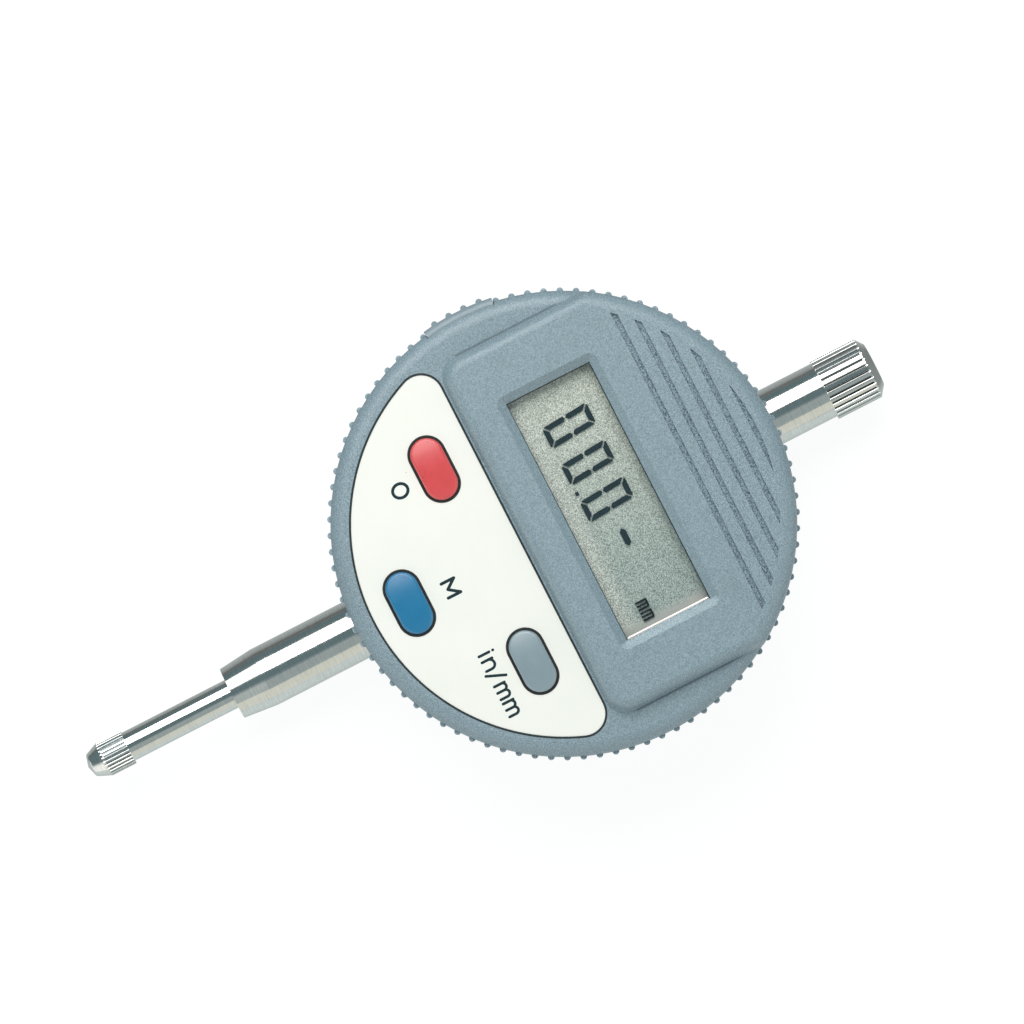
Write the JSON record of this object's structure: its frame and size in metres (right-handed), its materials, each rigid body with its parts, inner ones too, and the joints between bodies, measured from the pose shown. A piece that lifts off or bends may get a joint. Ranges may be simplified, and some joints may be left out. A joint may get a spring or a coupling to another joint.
{
  "type": "digital indicator",
  "caption": "Round digital indicator with an LCD, three buttons, a turning display head, an 8 mm mounting stem and a sprung measuring spindle.",
  "frame": {"origin": "on the back face, on the axis that the display head turns about", "axes": "+Z out of the display, +Y along the spindle towards the screw cap, +X to the right of the display"},
  "size_m": [0.0609, 0.114, 0.025],
  "materials": {
    "case_plastic": "satin",
    "port_rubber": "satin",
    "panel_white": "satin",
    "button_red": "satin",
    "button_blue": "satin",
    "button_grey": "satin",
    "ground_steel": "polished",
    "plain_steel": "satin",
    "bronze": "satin",
    "rubber": "matt",
    "carriage_metal": "satin",
    "board_green": "satin",
    "black_plastic": "satin",
    "scale_glass": "polished",
    "lcd_glass": "satin",
    "lens_glass": "polished"
  },
  "bodies": {
    "case": {"rear_housing": "case_plastic", "back_cover": "case_plastic", "back_cover_screws": "plain_steel", "stem": "ground_steel", "lower_bushing": "bronze", "upper_bushing": "bronze", "guard_tube": "ground_steel", "screw_cap": "ground_steel", "bumper_ring": "rubber", "guide_rail": "carriage_metal", "rail_screws": "plain_steel", "sensor_board": "board_green", "sensor_screws": "plain_steel", "signal_wires": "rubber", "return_spring": "plain_steel", "retaining_ring": "plain_steel", "retainer_screws": "plain_steel", "turn_o_ring": "rubber", "stop_pin": "plain_steel", "battery_tray": "black_plastic", "coin_cell": "plain_steel", "contact_plus": "bronze", "contact_minus": "bronze"},
    "battery_lid": {"battery_lid": "case_plastic", "lid_seal": "rubber"},
    "spindle": {"spindle": "ground_steel", "contact_point": "ground_steel", "carriage": "carriage_metal", "carriage_screw": "plain_steel", "guide_pin": "plain_steel", "linear_scale": "scale_glass"},
    "display_head": {"front_cover": "case_plastic", "head_base": "case_plastic", "head_screws": "plain_steel", "window_lens": "lens_glass", "lcd": "lcd_glass", "lcd_frame": "black_plastic", "zebra_strips": "rubber", "display_board": "board_green", "board_screws": "plain_steel", "display_chip": "black_plastic", "tact_switches": "black_plastic", "button_panel": "panel_white", "data_socket": "black_plastic"},
    "zero_button": {"zero_button": "button_red", "zero_plunger": "black_plastic"},
    "mode_button": {"mode_button": "button_blue", "mode_plunger": "black_plastic"},
    "unit_button": {"unit_button": "button_grey", "unit_plunger": "black_plastic"},
    "port_cover": {"port_cover": "port_rubber"}
  },
  "joints": [
    {"name": "spindle_travel", "type": "slide", "parent": "case", "child": "spindle", "axis": [0, 1, 0], "range_m": [0, 0.0127], "stiffness_N_per_m": 20, "springref_m": -0.035, "deforming": ["return_spring"]},
    {"name": "display_turn", "type": "hinge", "parent": "case", "child": "display_head", "pos_m": [0, 0, 0.0143], "axis": [0, 0, 1], "range_deg": [-135, 135]},
    {"name": "battery_lid_turn", "type": "hinge", "parent": "case", "child": "battery_lid", "pos_m": [0.0143, 0, 0.001], "axis": [0, 0, 1], "range_deg": [0, 40]},
    {"name": "zero_button_press", "type": "slide", "parent": "display_head", "child": "zero_button", "axis": [0, 0, -1], "range_m": [0, 0.0005], "stiffness_N_per_m": 2000, "springref_m": -0.0003},
    {"name": "mode_button_press", "type": "slide", "parent": "display_head", "child": "mode_button", "axis": [0, 0, -1], "range_m": [0, 0.0005], "stiffness_N_per_m": 2000, "springref_m": -0.0003},
    {"name": "unit_button_press", "type": "slide", "parent": "display_head", "child": "unit_button", "axis": [0, 0, -1], "range_m": [0, 0.0005], "stiffness_N_per_m": 2000, "springref_m": -0.0003},
    {"name": "port_cover_pull", "type": "slide", "parent": "display_head", "child": "port_cover", "axis": [-1, 0, 0], "range_m": [0, 0.006]}
  ]
}
